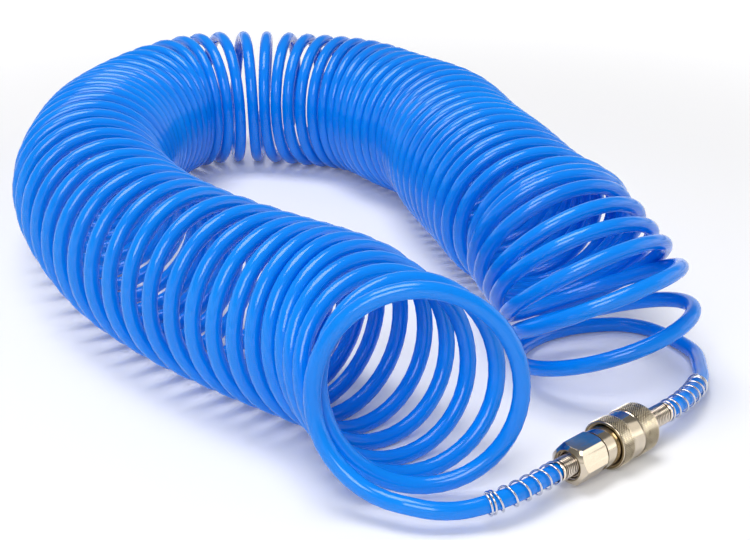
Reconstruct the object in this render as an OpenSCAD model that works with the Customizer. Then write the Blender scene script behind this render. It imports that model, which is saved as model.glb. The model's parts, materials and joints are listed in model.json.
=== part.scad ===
// Coiled polyurethane air hose whose two ends are joined by a quick coupler.
// Millimetres. X runs along the coupler from socket to plug and Z is up.
// The origin is on the floor under the middle of the coupler.

/* [Hose] */
// Outside diameter of the hose
hose_d = 8; // [7.5:0.1:8.1]
// Bore of the hose
hose_bore = 5; // [4.8:0.1:5.4]
// Radius of a curl, to the middle of the hose
curl_r = 44.3; // [43:0.1:45]
// Rings of faces in one turn of the hose
curl_rings = 8; // [8:1:16]
// Rings of faces in one turn of a spring
spring_rings = 8; // [8:1:16]
// Sides of a wound tube
wound_sides = 6; // [6:1:12]
// Sides of the free ends of the hose
tail_sides = 12; // [8:1:16]

/* [Sleeve] */
// Wall of the release sleeve over its spring
sleeve_wall = 2.3; // [2:0.1:3]
// Length of the release sleeve
sleeve_len = 27.5; // [27.5:0.5:29]
// Depth of the smooth waist between the grip bands
waist_depth = 0.7; // [0.3:0.1:1]
// Travel of the sleeve from locked to released
sleeve_travel = 4; // [3:0.25:4]

/* [Socket] */
// Size across the flats of the hexagon
hex_af = 18; // [17:0.5:19]
// Length of the hexagon
hex_len = 18; // [16:0.5:18.5]
// Turn of the hexagon about the coupler's axis
hex_turn = 36.5; // [0:0.5:60]
// Depth of the countersink at the hexagon's threaded mouth
countersink = 1.7; // [1:0.1:1.9]
// Space between the round neck and the sleeve's back end
neck_gap = 0.4; // [0.3:0.05:0.8]
// Radial room for the sleeve's spring
spring_room = 1.22; // [1.2:0.01:1.5]
// Diameter of a lock ball
ball_d = 3; // [2.8:0.1:3.1]
// Rise of the lock ramp for one of sleeve travel
ramp_slope = 0.3; // [0.25:0.01:0.3]

/* [Plug] */
// Diameter of the plug's nose
nose_d = 11.8; // [11.6:0.1:12.4]
// Rise from the nose to the shoulder behind the lock groove
shoulder_rise = 0.6; // [0.4:0.05:0.6]
// Depth of the lock groove below the nose
groove_depth = 0.6; // [0.5:0.05:0.8]

/* [Hose fittings] */
// Outside diameter of the threaded ferrules
ferrule_d = 10.2; // [10:0.1:10.6]
// Pitch of the thread on the ferrules
thread_pitch = 1.25; // [1:0.25:1.5]
// Depth of that thread
thread_depth = 0.35; // [0.2:0.05:0.4]
// Wire of the guard springs
guard_wire = 1; // [0.9:0.05:1.2]
// Turns of a guard spring
guard_turns = 8; // [6:1:9]
// Pitch of the open turns of a guard spring
guard_pitch = 6.8; // [5:0.1:7]

/* [Fits] */
// Running fit between turned parts, on the radius
run_fit = 0.08; // [0.05:0.01:0.1]
// Seat clearance between parts of one body, on the radius
seat_fit = 0.05; // [0.02:0.01:0.1]
// Space between the hose and what turns around it
hose_fit = 0.3; // [0.3:0.05:0.4]
// Space between the hose and its guard springs
guard_gap = 0.55; // [0.3:0.05:0.7]

/* [Hidden] */

// smoothness of the turned parts
round_fn = 64;
hose_r = hose_d / 2;
// the hose is cut flat where it stands, by a tenth of its diameter
flat_cut = hose_d / 10;
rest_z = hose_r - flat_cut;

// positions along the axis
sleeve_x = -8;
sleeve_end = sleeve_x + sleeve_len;
waist_x = 0.8;
waist_end = 7.9;
hex_end = -17;
hex_x = hex_end - hex_len;
// a narrow groove parts the hexagon from the neck
relief_width = 0.5;
relief_depth = 0.4;
relief_r = hex_af / 2 - relief_depth;
neck_end = -6;
nose_end = 18.5;
ball_x = 11;
ring_x = 14;
ring_thick = 1;
plug_tip = 1.5;
plug_end = 24;
spigot_len = 3;
ferrule_len = 16.5;
ferrule_in_x = -27;
ferrule_out_x = ferrule_in_x - ferrule_len;
plug_ferrule_end = plug_end + ferrule_len;
ferrule_rim = 1.6;
barb_len = 19.5;
flange_thick = 1;
// the hose stops short of the barb's flange
hose_gap = 2;

// radii, from the plug outwards to the sleeve
nose_r = nose_d / 2;
shoulder_r = nose_r + shoulder_rise;
groove_r = nose_r - groove_depth;
ball_r = ball_d / 2;
ball_clear = 0.15;
ball_hold_r = groove_r + ball_clear + ball_r;
land_r = ball_hold_r + ball_r + 0.03;
nose_body_r = land_r - run_fit;
chamber_r = land_r + spring_room;
neck_r = chamber_r - neck_gap;
sleeve_r = chamber_r + sleeve_wall;
// height of the coupler's axis: the sleeve lies on the floor
axis_z = sleeve_r;
ramp_x = ball_x - 0.26;
ramp_end = ramp_x + sleeve_travel + 0.5;
recess_r = land_r + ramp_slope * (ramp_end - ramp_x);
valve_bore_r = nose_r - 0.9;
tail_r = valve_bore_r + 2;
passage_r = 2.6;
ferrule_r = ferrule_d / 2;
hose_seat_r = hose_r + hose_fit;
barb_r = hose_bore / 2 - 0.35;
barb_bore_r = 1.4;
flange_r = hose_seat_r - seat_fit;
bore_r = hose_bore / 2;
guard_r = hose_r + guard_gap + guard_wire / 2;
closed_pitch = guard_wire + 0.7;

steel = [0.75, 0.74, 0.70];
nickel = [0.80, 0.77, 0.70];
rubber = [0.10, 0.10, 0.11];
hose_blue = [0.05, 0.45, 0.90];

// ---- turned parts: profiles are [radius, x] ----
module turned(profile) {
    translate([0, 0, axis_z])
        rotate([0, 90, 0])
            rotate_extrude($fn = round_fn)
                polygon(profile);
}

module disc(x, thick, r) {
    translate([x, 0, axis_z])
        rotate([0, 90, 0])
            cylinder(h = thick, r = r, $fn = round_fn);
}

// radial drilling towards [0, -cos, sin] of an angle about the axis
module drilled(x, angle, r, from, to) {
    translate([x, 0, axis_z])
        rotate([angle, 0, 0])
            translate([0, 0, from])
                cylinder(h = to - from, r = r, $fn = 32);
}

// ---- smooth curves through stations, each a list that starts with its own parameter ----
function slope(s, i) = let (a = max(i - 1, 0), b = min(i + 1, len(s) - 1))
    (s[b] - s[a]) / (s[b][0] - s[a][0]);
function span(s, n, i = 0) = (i >= len(s) - 2 || n < s[i + 1][0]) ? i : span(s, n, i + 1);
function between(s, n) = let (
        i = span(s, n),
        h = s[i + 1][0] - s[i][0],
        f = (n - s[i][0]) / h,
        f2 = f * f,
        f3 = f2 * f)
    (2 * f3 - 3 * f2 + 1) * s[i] + (f3 - 2 * f2 + f) * h * slope(s, i)
    + (3 * f2 - 2 * f3) * s[i + 1] + (f3 - f2) * h * slope(s, i + 1);

function unit(v) = v / norm(v);
function square_to(ref, t) = unit(ref - (ref * t) * t);

// ---- a tube through rings, each [centre, direction, upward reference, radius] ----
// The reference side is stretched so that a bent tube keeps its thickness.
function ring_points(ring, sides, stretch) = let (
        u = square_to(ring[2], ring[1]) * stretch,
        v = cross(ring[1], u) / stretch)
    [for (k = [0 : sides - 1]) let (
            a = 360 * (k + 0.5) / sides,
            p = ring[0] + ring[3] * (cos(a) * u + sin(a) * v))
        [p[0], p[1], max(p[2], 0)]];

function tube_points(rings, sides, stretch) =
    [for (r = rings) each ring_points(r, sides, stretch)];

function tube_faces(count, sides) = let (last = (count - 1) * sides) concat(
    [for (k = [1 : sides - 2]) [0, k, k + 1]],
    [for (i = [0 : count - 2]) for (k = [0 : sides - 1]) let (
            a = i * sides + k,
            b = i * sides + (k + 1) % sides)
        each [[a, a + sides, b], [b, a + sides, b + sides]]],
    [for (k = [1 : sides - 2]) [last, last + k + 1, last + k]]);

module tube(rings, sides, stretch = 1) {
    polyhedron(
        points = tube_points(rings, sides, stretch),
        faces = tube_faces(len(rings), sides),
        convexity = 20);
}

// ---- where the hose lies ----
// Turns of the coil, then stations of [turn, x, y, lift off the floor, heading, lean].
coil_turns = 75;
stations = [
    [0, -101, 34, 7, 25, 13],
    [1, -76, 51, 3, 54, 20],
    [2.5, -69, 77, 0, 71, 21],
    [4.5, -59, 106, 0, 83, 13],
    [7, -60, 139, 0, 90, 2],
    [10, -62, 177, 0, 83, 0],
    [13, -60, 233, 0, 89, 0],
    [17, -46, 298, 0, 73, 0],
    [21, -9, 381, 0, 63, 0],
    [25, 41, 440, 0, 44, 0],
    [29, 77, 469, 0, 35, 0],
    [33, 128, 495, 0, 11, 0],
    [35, 161, 505, 0, -12, 0],
    [37, 188, 501, 0, -25, 0],
    [39, 213, 481, 0, -43, 0],
    [41, 229, 455, 0, -60, 0],
    [45, 247, 409, 0, -77, 0],
    [49, 238, 357, 0, -97, 0],
    [53, 227, 309, 0, -112, 0],
    [57, 193, 258, 0, -123, 0],
    [61, 166, 213, 0, -122, 3],
    [65, 139, 168, 0, -120, 14],
    [67, 131, 142, 1, -118, 21],
    [69, 108, 124, 10, -113, 30],
    [70.5, 90, 100, 15, -107, 39],
    [72, 78, 81, 16, -109, 47],
    [73, 66, 65, 24, -96, 57],
    [74, 64, 55, 18, -97, 67],
    [74.6, 75, 60, 8, -83, 74],
    [75, 79, 66, 0, -78, 80]
];

// Stations of [length, x, y, sink]; sink goes from the axis, 0, to the floor, 1.
socket_route = [
    [0, -30, 0, 0],
    [9, -39, 0, 0],
    [18, -48, 0, 0],
    [30, -60, 0, 0],
    [42, -72, 1, 0.05],
    [55, -84, 5, 0.2],
    [67, -94, 11, 0.35],
    [79, -103, 19, 0.3]];
socket_run = 91;
plug_route = [
    [0, 30, 0, 0],
    [9, 39, 0, 0],
    [18, 48, 0, 0],
    [28, 58, 1, 0],
    [40, 70, 4, 0.1],
    [52, 81, 8, 0.2],
    [64, 92, 13, 0.35],
    [76, 102, 20, 0.5],
    [90, 113, 28, 0.7],
    [104, 123, 37, 0.85],
    [118, 130, 49, 0.95],
    [132, 134, 62, 1],
    [146, 135, 76, 1],
    [160, 130, 89, 1],
    [175, 119, 99, 1],
    [190, 106, 106, 1],
    [206, 90, 110, 1],
    [218, 78, 110, 1]];
plug_run = 226;

// ---- the curls of the hose ----
// Rings stand between the lowest and highest points of a turn, so the turn rests on a flat.
curl_step = 1 / curl_rings;
curl_corner = 1 / cos(180 / curl_rings);

function curl_at(n, grow) = let (
        s = between(stations, n),
        ahead = [cos(s[4]), sin(s[4]), 0],
        side = [-sin(s[4]), cos(s[4]), 0],
        up = sin(s[5]) * ahead + [0, 0, cos(s[5])],
        c = [s[1], s[2], rest_z + s[3] + curl_r * cos(s[5])],
        out = sin(360 * n) * side - cos(360 * n) * up)
    [c + curl_r * grow * out, cos(360 * n) * side + sin(360 * n) * up, out];

function curl_ring(n) = let (
        a = curl_at(n - curl_step, curl_corner)[0],
        b = curl_at(n, curl_corner),
        c = curl_at(n + curl_step, curl_corner)[0])
    [b[0], unit(c - a), b[2], hose_r];

function curl_end(n) = let (e = curl_at(n, 1))
    [e[0], e[1], e[2], hose_r];

function curl_rings_from(from, to) = concat(
    [curl_end(from)],
    [for (k = [from * curl_rings : to * curl_rings - 1]) curl_ring((k + 0.5) * curl_step)],
    [curl_end(to)]);
coil_rings = curl_rings_from(0, coil_turns);

// One stretch of the coil, in whole turns. Stretches meet face to face where a turn is lowest.
module coil_stretch(from, to) {
    color(hose_blue)
        tube(curl_rings_from(from, to), wound_sides, curl_corner);
}

// ---- the free ends of the hose ----
// A route's stations are [length, x, y, sink], where sink goes from the axis to the floor.
function route_point(route, s) = let (p = between(route, s))
    [p[1], p[2], axis_z + (rest_z - axis_z) * p[3]];
function route_heading(route, s) =
    unit(route_point(route, s + 0.5) - route_point(route, s - 0.5));

// blind bore for the barb: rings [centre, direction, reference, radius] at the route's start
function bored_end(x, inward) = [
    [[x + inward * (barb_len - flange_thick - hose_gap + 1), 0, axis_z], [inward, 0, 0], [0, 0, 1], bore_r],
    [[x, 0, axis_z], [inward, 0, 0], [0, 0, 1], bore_r],
    [[x, 0, axis_z], [inward, 0, 0], [0, 0, 1], hose_r]];

function tail_rings(route, from, to, step) = [for (i = [0 : round((to - from) / step)]) let (
        s = from + (to - from) * i / round((to - from) / step))
    [route_point(route, s), route_heading(route, s), [0, 0, 1], hose_r]];

function sink_of(z) = (axis_z - z) / (axis_z - rest_z);
function joined(route, run, e, dir) = concat(route, [
    [run, e[0][0], e[0][1], sink_of(e[0][2])],
    [run + hose_d, e[0][0] + dir * hose_d * e[1][0], e[0][1] + dir * hose_d * e[1][1], sink_of(e[0][2])]]);
socket_line = joined(socket_route, socket_run, coil_rings[0], 1);
plug_line = joined(plug_route, plug_run, coil_rings[len(coil_rings) - 1], -1);
tail_step = 7;

function tail(line, run, inward, e, dir) = concat(
    bored_end(line[0][1], inward),
    tail_rings(line, tail_step, run - tail_step, tail_step),
    [[e[0], dir * e[1], [0, 0, 1], hose_r]]);

module socket_tail() {
    color(hose_blue)
        tube(tail(socket_line, socket_run, -1, coil_rings[0], 1), tail_sides);
}

module plug_tail() {
    color(hose_blue)
        tube(tail(plug_line, plug_run, 1, coil_rings[len(coil_rings) - 1], -1), tail_sides);
}

// ---- springs ----
spring_corner = 1 / cos(180 / spring_rings);
inner_rings = 16;

// distance along the hose of a turn of a guard spring: closed, open, then two closed turns
function guard_run(m) = closed_pitch * m
    + (guard_pitch - closed_pitch) * min(max(m - 0.7, 0), guard_turns - 2.7);

function guard_at(line, start, m, grow) = let (
        s = start + guard_run(m),
        t = route_heading(line, s),
        u = square_to([0, 0, 1], t),
        out = cos(360 * m) * u + sin(360 * m) * cross(t, u))
    [route_point(line, s) + guard_r * grow * out, out];

function guard_ring(line, start, m, grow) = let (
        a = guard_at(line, start, m - 1 / spring_rings, grow),
        b = guard_at(line, start, m, grow),
        c = guard_at(line, start, m + 1 / spring_rings, grow))
    [b[0], unit(c[0] - a[0]), b[1], guard_wire / 2];

function guard_rings(line, start) = concat(
    [guard_ring(line, start, 0, 1)],
    [for (k = [0 : guard_turns * spring_rings - 1])
        guard_ring(line, start, (k + 0.5) / spring_rings, spring_corner)],
    [guard_ring(line, start, guard_turns, 1)]);

guard_seat = hose_fit;
module guard_spring_socket() {
    color(steel)
        tube(guard_rings(socket_line, -ferrule_out_x + socket_line[0][1] + guard_seat + guard_wire / 2),
            wound_sides, spring_corner);
}

module guard_spring_plug() {
    color(steel)
        tube(guard_rings(plug_line, plug_ferrule_end - plug_line[0][1] + guard_seat + guard_wire / 2),
            wound_sides, spring_corner);
}

// straight spring about the axis, with the wire's ends inside [from, to]
function straight_at(x, r, m) = [x, r * cos(360 * m), axis_z + r * sin(360 * m)];
function straight_ring(from, to, r, wire, turns, m, grow) = let (
        w = wire / 2,
        pitch = (to - from - wire) / turns,
        t = unit([pitch / (2 * PI), -r * sin(360 * m), r * cos(360 * m)]))
    [straight_at(from + w + pitch * m, r * grow, m), t, [0, cos(360 * m), sin(360 * m)], w];

module straight_spring(from, to, r, wire, turns) {
    corner = 1 / cos(180 / inner_rings);
    rings = concat(
        [straight_ring(from, to, r, wire, turns, 0, 1)],
        [for (k = [0 : turns * inner_rings - 1])
            straight_ring(from, to, r, wire, turns, (k + 0.5) / inner_rings, corner)],
        [straight_ring(from, to, r, wire, turns, turns, 1)]);
    tube(rings, wound_sides, corner);
}

sleeve_spring_turns = 4;
sleeve_wire = 0.8;
sleeve_spring_in = 0.1;
sleeve_shoulder = 5;
module sleeve_spring() {
    color(steel)
        straight_spring(neck_end, sleeve_shoulder, (nose_body_r + chamber_r) / 2 - sleeve_spring_in,
            sleeve_wire, sleeve_spring_turns);
}

valve_spring_turns = 4;
valve_wire = 0.6;
valve_spring_r = valve_bore_r - 2.1;
module valve_spring() {
    color(steel)
        straight_spring(guide_x + guide_thick, head_x, valve_spring_r, valve_wire, valve_spring_turns);
}

// ---- hose fittings ----
thread_count = 10;
module ferrule(out_x, inward) {
    root_r = ferrule_r - thread_depth;
    thread_x = out_x + inward * (ferrule_rim + thread_pitch / 2);
    thread = [for (i = [0 : thread_count - 1]) let (x = thread_x + inward * i * thread_pitch) each [
        [root_r, x],
        [ferrule_r, x + inward * thread_pitch * 0.4],
        [ferrule_r, x + inward * thread_pitch * 0.6],
        [root_r, x + inward * thread_pitch]]];
    rim = 0.4;
    in_x = out_x + inward * ferrule_len;
    turned(concat(
        [[hose_seat_r, out_x + inward * rim], [hose_seat_r + rim, out_x], [ferrule_r - rim, out_x]],
        [[ferrule_r, out_x + inward * rim], [ferrule_r, out_x + inward * ferrule_rim]],
        [[root_r, out_x + inward * (ferrule_rim + rim)]],
        thread,
        [[root_r, in_x], [hose_seat_r, in_x]]));
}

module barb(flange_x, outward) {
    tip_x = flange_x + outward * barb_len;
    neck_r = barb_r - 0.25;
    ridge = 3;
    ridges = [for (i = [0 : 3]) let (x = tip_x - outward * (ridge + 3.5 * i)) each [
        [barb_r, x],
        [neck_r, x],
        [neck_r, x - outward * 0.5]]];
    turned(concat(
        [[barb_bore_r, flange_x], [barb_bore_r, tip_x], [neck_r, tip_x]],
        ridges,
        [[neck_r, flange_x + outward * flange_thick], [flange_r, flange_x + outward * flange_thick],
            [flange_r, flange_x]]));
}

module socket_ferrule() {
    color(nickel)
        ferrule(ferrule_out_x, 1);
}

module plug_ferrule() {
    color(nickel)
        ferrule(plug_ferrule_end, -1);
}

module socket_barb() {
    color(nickel)
        barb(ferrule_in_x, -1);
}

module plug_barb() {
    color(nickel)
        barb(plug_end + spigot_len, 1);
}

// ---- socket ----
// A ball whose surface takes an axial length off a hexagon's corners down to a radius at its end face.
// The end face is at face_x, and the rest of the hexagon lies inward of it.
module crowned(face_x, inward, corner_r, face_r, length) {
    deep = (corner_r * corner_r - face_r * face_r + length * length) / (2 * length);
    translate([face_x + inward * deep, 0, axis_z])
        sphere(r = norm([face_r, deep]), $fn = 2 * round_fn);
}

module socket_body() {
    corner_r = hex_af / 2 / cos(30);
    mouth_r = ferrule_r + seat_fit;
    color(nickel)
        difference() {
            union() {
                intersection() {
                    translate([hex_x, 0, axis_z])
                        rotate([hex_turn, 0, 0])
                            rotate([0, 90, 0])
                                cylinder(h = hex_len, r = corner_r, $fn = 6);
                    crowned(hex_x, 1, corner_r, corner_r - 2.9, 1.8);
                    crowned(hex_end, -1, corner_r, corner_r - 0.9, 1);
                }
                disc(hex_end - 1, relief_width + 2, relief_r);
                disc(hex_end + relief_width, neck_end - hex_end - relief_width, neck_r);
            }
            disc(hex_x - 1, ferrule_in_x - hex_x + 1, mouth_r);
            turned([[0, hex_x - 1], [mouth_r + countersink + 1, hex_x - 1],
                [mouth_r, hex_x + countersink], [0, hex_x + countersink]]);
            disc(ferrule_in_x - 1, seal_x - ferrule_in_x + 2, passage_r);
            disc(seal_x, neck_end - seal_x + 1, tail_r + seat_fit);
        }
}

seal_x = -15;
seal_thick = 1;
seal_in_r = valve_bore_r + 0.2;
module body_seal() {
    color(rubber)
        turned([[seal_in_r, seal_x], [tail_r, seal_x], [tail_r, seal_x + seal_thick],
            [seal_in_r, seal_x + seal_thick]]);
}

lip_x = 0.2;
lip_end = 1;
lip_r = valve_bore_r - 1.3;
step_x = 8;
groove_seal_x = 3;
groove_seal_end = 5.4;
groove_seal_r = nose_r + 1.5;
ring_groove_r = land_r - 0.78;
ring_fit = 0.05;
module socket_nose() {
    bore = shoulder_r + run_fit;
    small = nose_r + run_fit;
    edge = 0.5;
    color(nickel)
        difference() {
            turned([[valve_bore_r, seal_x + seal_thick], [tail_r, seal_x + seal_thick], [tail_r, neck_end],
                [nose_body_r, neck_end], [nose_body_r, ring_x - ring_fit], [ring_groove_r, ring_x - ring_fit],
                [ring_groove_r, ring_x + ring_thick + ring_fit],
                [nose_body_r, ring_x + ring_thick + ring_fit],
                [nose_body_r, nose_end - edge], [nose_body_r - edge, nose_end], [bore + edge, nose_end],
                [bore, nose_end - edge], [bore, step_x + edge], [small, step_x], [small, groove_seal_end],
                [groove_seal_r, groove_seal_end], [groove_seal_r, groove_seal_x], [small, groove_seal_x],
                [small, lip_end], [lip_r, lip_end], [lip_r, lip_x], [valve_bore_r, lip_x]]);
            for (i = [0 : 5])
                drilled(ball_x, 60 * i, ball_r + seat_fit, bore - 1, nose_body_r + 1);
        }
}

guide_x = seal_x;
guide_thick = 1.5;
stem_r = 1.2;
module valve_guide() {
    hole_r = 0.8;
    hole_at = valve_bore_r - 1.1;
    color(nickel)
        difference() {
            disc(guide_x, guide_thick, valve_bore_r - seat_fit);
            disc(guide_x - 1, guide_thick + 2, stem_r + run_fit);
            for (i = [0 : 3])
                drilled_axially(guide_x, guide_thick, 90 * i, hole_at, hole_r);
        }
}

module drilled_axially(x, thick, angle, at, r) {
    translate([x - 1, 0, axis_z])
        rotate([angle, 0, 0])
            translate([0, 0, at])
                rotate([0, 90, 0])
                    cylinder(h = thick + 2, r = r, $fn = 32);
}

head_x = -4.6;
head_thick = 1.6;
valve_seal_end = -1.6;
crown_r = lip_r - 0.5;
module valve_poppet() {
    hub_r = 2;
    head_r = valve_bore_r - 0.7;
    crown_wall = 0.8;
    crown_x = -0.8;
    slot = 1.6;
    stem_x = guide_x - 1;
    crown_end = plug_tip - 0.05;
    color(nickel)
        difference() {
            turned([[0, stem_x], [stem_r, stem_x], [stem_r, head_x], [head_r, head_x],
                [head_r, head_x + head_thick], [hub_r, head_x + head_thick], [hub_r, valve_seal_end],
                [crown_r, valve_seal_end], [crown_r, crown_end], [crown_r - crown_wall, crown_end],
                [crown_r - crown_wall, crown_x], [0, crown_x]]);
            for (a = [0, 90])
                translate([crown_x, 0, axis_z])
                    rotate([a, 0, 0])
                        translate([0, -slot / 2, -crown_r - 1])
                            cube([crown_end - crown_x + 1, slot, 2 * crown_r + 2]);
        }
}

module valve_seal() {
    r = valve_bore_r - 0.5;
    soft = 0.3;
    x0 = head_x + head_thick;
    color(rubber)
        turned([[2 + seat_fit, x0], [r - soft, x0], [r, x0 + soft], [r, valve_seal_end - soft],
            [r - soft, valve_seal_end], [2 + seat_fit, valve_seal_end]]);
}

module nose_seal() {
    lip = nose_r + 0.03;
    soft = 0.4;
    x0 = groove_seal_x + 0.1;
    x1 = groove_seal_end - 0.1;
    out = groove_seal_r - seat_fit;
    color(rubber)
        turned([[lip, x0 + soft], [lip + soft, x0], [out, x0], [out, x1],
            [lip + soft, x1], [lip, x1 - soft]]);
}

module lock_ball(i) {
    color(steel)
        translate([ball_x, 0, axis_z])
            rotate([60 * i, 0, 0])
                translate([0, 0, ball_hold_r])
                    sphere(r = ball_r, $fn = 32);
}

module sleeve() {
    mouth = 0.8;
    edge = 1;
    front_edge = 0.4;
    waist_r = sleeve_r - waist_depth;
    color(nickel)
        turned([[chamber_r + mouth, sleeve_x], [sleeve_r - edge, sleeve_x], [sleeve_r, sleeve_x + edge],
            [sleeve_r, waist_x], [waist_r, waist_x + waist_depth], [waist_r, waist_end - waist_depth],
            [sleeve_r, waist_end], [sleeve_r, sleeve_end - edge], [sleeve_r - edge, sleeve_end],
            [recess_r + front_edge, sleeve_end], [recess_r, sleeve_end - front_edge], [recess_r, ramp_end],
            [land_r, ramp_x], [land_r, sleeve_shoulder], [chamber_r, sleeve_shoulder],
            [chamber_r, sleeve_x + mouth]]);
}

module snap_ring() {
    out = land_r + 0.92;
    gap = 3;
    color(steel)
        difference() {
            turned([[ring_groove_r + ring_fit, ring_x], [out, ring_x], [out, ring_x + ring_thick],
                [ring_groove_r + ring_fit, ring_x + ring_thick]]);
            translate([ring_x - 1, -gap / 2, axis_z])
                cube([ring_thick + 2, gap, sleeve_r]);
        }
}

// ---- plug ----
module plug() {
    bore = 2;
    edge = 0.8;
    color(nickel)
        turned([[bore, plug_tip], [nose_r - edge, plug_tip], [nose_r, plug_tip + edge],
            [nose_r, ball_x - 1.7], [groove_r, ball_x - 1.3], [groove_r, ball_x + 1.2],
            [shoulder_r, ball_x + 1.8], [shoulder_r, nose_end - 1], [ferrule_r, nose_end + 0.5],
            [ferrule_r, plug_end],
            [hose_seat_r - seat_fit, plug_end], [hose_seat_r - seat_fit, plug_end + spigot_len],
            [bore, plug_end + spigot_len]]);
}

// ---- least gap of a wound tube to itself, measured between points and chords ----
function lerp(a, b, f) = a + (b - a) * f;
function to_chord(p, a, b) = let (f = min(max(((p - a) * (b - a)) / ((b - a) * (b - a)), 0), 1))
    norm(p - lerp(a, b, f));
function least_gap(c, turn, thick) = min([for (i = [0 : len(c) - 2]) for (f = [0, 0.25, 0.5, 0.75])
    for (j = [i + turn - 3 : i + turn + 3]) if (j + 1 < len(c))
        to_chord(lerp(c[i], c[i + 1], f), c[j], c[j + 1])]) - thick;
function two_turns_gap(c, turn, thick) = least_gap(c, 2 * turn, thick);

coil_line = [for (r = coil_rings) r[0]];
echo(coil_gap = min(least_gap(coil_line, curl_rings, hose_d), two_turns_gap(coil_line, curl_rings, hose_d)));
socket_guard_line = [for (r = guard_rings(socket_line, 14)) r[0]];
echo(guard_least_gap = least_gap(socket_guard_line, spring_rings, guard_wire));

coil_stretch(0, 7);  // coil_end_by_socket
coil_stretch(7, 13);  // coil_left_front
coil_stretch(13, 19);  // coil_left_middle
coil_stretch(19, 25);  // coil_left_back
coil_stretch(25, 33);  // coil_bend_left
coil_stretch(33, 41);  // coil_bend_middle
coil_stretch(41, 49);  // coil_bend_right
coil_stretch(49, 57);  // coil_right_back
coil_stretch(57, 66);  // coil_right_middle
coil_stretch(66, coil_turns);  // coil_end_by_plug
socket_tail();
plug_tail();
guard_spring_socket();
guard_spring_plug();
socket_ferrule();
socket_barb();
socket_body();
body_seal();
socket_nose();
valve_guide();
valve_spring();
valve_poppet();
valve_seal();
nose_seal();
lock_ball(0);  // lock_ball_1
lock_ball(1);  // lock_ball_2
lock_ball(2);  // lock_ball_3
lock_ball(3);  // lock_ball_4
lock_ball(4);  // lock_ball_5
lock_ball(5);  // lock_ball_6
sleeve();
sleeve_spring();
snap_ring();
plug();
plug_ferrule();
plug_barb();
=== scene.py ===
import json
import math

import bmesh
import bpy
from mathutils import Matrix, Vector

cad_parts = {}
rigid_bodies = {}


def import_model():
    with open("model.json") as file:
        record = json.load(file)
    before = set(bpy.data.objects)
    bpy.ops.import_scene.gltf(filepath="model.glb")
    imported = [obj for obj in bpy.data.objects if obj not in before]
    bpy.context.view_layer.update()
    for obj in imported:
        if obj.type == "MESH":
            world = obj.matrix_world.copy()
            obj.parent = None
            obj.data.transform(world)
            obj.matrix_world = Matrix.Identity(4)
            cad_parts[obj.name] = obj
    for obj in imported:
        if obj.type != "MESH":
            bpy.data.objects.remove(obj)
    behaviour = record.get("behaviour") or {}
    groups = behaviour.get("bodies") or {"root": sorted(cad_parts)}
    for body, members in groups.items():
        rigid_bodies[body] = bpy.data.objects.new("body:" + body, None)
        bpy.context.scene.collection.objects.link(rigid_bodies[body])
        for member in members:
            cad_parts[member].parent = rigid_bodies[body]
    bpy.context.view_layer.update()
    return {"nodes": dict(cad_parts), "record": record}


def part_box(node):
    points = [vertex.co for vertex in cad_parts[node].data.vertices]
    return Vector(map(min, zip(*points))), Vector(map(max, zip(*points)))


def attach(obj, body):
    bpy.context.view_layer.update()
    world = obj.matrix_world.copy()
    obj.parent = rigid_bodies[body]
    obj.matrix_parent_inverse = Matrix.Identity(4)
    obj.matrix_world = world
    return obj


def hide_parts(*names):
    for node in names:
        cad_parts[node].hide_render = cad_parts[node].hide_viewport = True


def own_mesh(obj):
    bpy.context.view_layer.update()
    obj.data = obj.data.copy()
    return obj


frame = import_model()

mm = 0.001


def linear(hexColour):
    def channel(c):
        return c / 12.92 if c <= 0.04045 else ((c + 0.055) / 1.055) ** 2.4
    return tuple(channel(int(hexColour[i:i + 2], 16) / 255) for i in (1, 3, 5)) + (1.0,)


def addNode(tree, kind, inputs=None, **settings):
    # an input is a plain value, a socket, or a node, which stands for its first output
    node = tree.nodes.new(kind)
    for name, value in settings.items():
        setattr(node, name, value)
    for key, value in (inputs or {}).items():
        if isinstance(value, bpy.types.Node):
            value = value.outputs[0]
        if isinstance(value, bpy.types.NodeSocket):
            tree.links.new(value, node.inputs[key])
        else:
            node.inputs[key].default_value = value
    return node


def newMaterial(name):
    material = bpy.data.materials.new(name)
    material.use_nodes = True
    return material, material.node_tree, material.node_tree.nodes["Principled BSDF"]


def newGeometryTree(name, numbers, counts=()):
    # its inputs are the geometry, the named numbers and whole numbers, and the material
    tree = bpy.data.node_groups.new(name, "GeometryNodeTree")
    kinds = [("Geometry", "Geometry")] + [(label, "Float") for label in numbers]
    kinds += [(label, "Int") for label in counts] + [("Material", "Material")]
    for label, kind in kinds:
        tree.interface.new_socket(label, in_out="INPUT", socket_type="NodeSocket" + kind)
    tree.interface.new_socket("Geometry", in_out="OUTPUT", socket_type="NodeSocketGeometry")
    return tree, addNode(tree, "NodeGroupInput").outputs


def endTree(tree, geometry, material):
    real = addNode(tree, "GeometryNodeRealizeInstances", {"Geometry": geometry})
    painted = addNode(tree, "GeometryNodeSetMaterial", {"Geometry": real, "Material": material})
    addNode(tree, "NodeGroupOutput", {"Geometry": painted})


def keepResult(obj, modifier):
    # leaves what the modifier makes as the object's plain mesh
    evaluated = obj.evaluated_get(bpy.context.evaluated_depsgraph_get())
    mesh = bpy.data.meshes.new_from_object(evaluated)
    obj.modifiers.remove(modifier)
    obj.data = mesh
    return obj


def growFrom(obj, tree, values):
    modifier = obj.modifiers.new(tree.name, "NODES")
    modifier.node_group = tree
    for item in tree.interface.items_tree:
        if item.in_out == "INPUT" and item.name in values:
            modifier[item.identifier] = values[item.name]
    return keepResult(obj, modifier)


def newObject(name, points, edges=(), faces=(), material=None):
    mesh = bpy.data.meshes.new(name)
    mesh.from_pydata(points, edges, faces)
    mesh.validate()
    if material:
        mesh.materials.append(material)
    obj = bpy.data.objects.new(name, mesh)
    bpy.context.scene.collection.objects.link(obj)
    return obj


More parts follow.
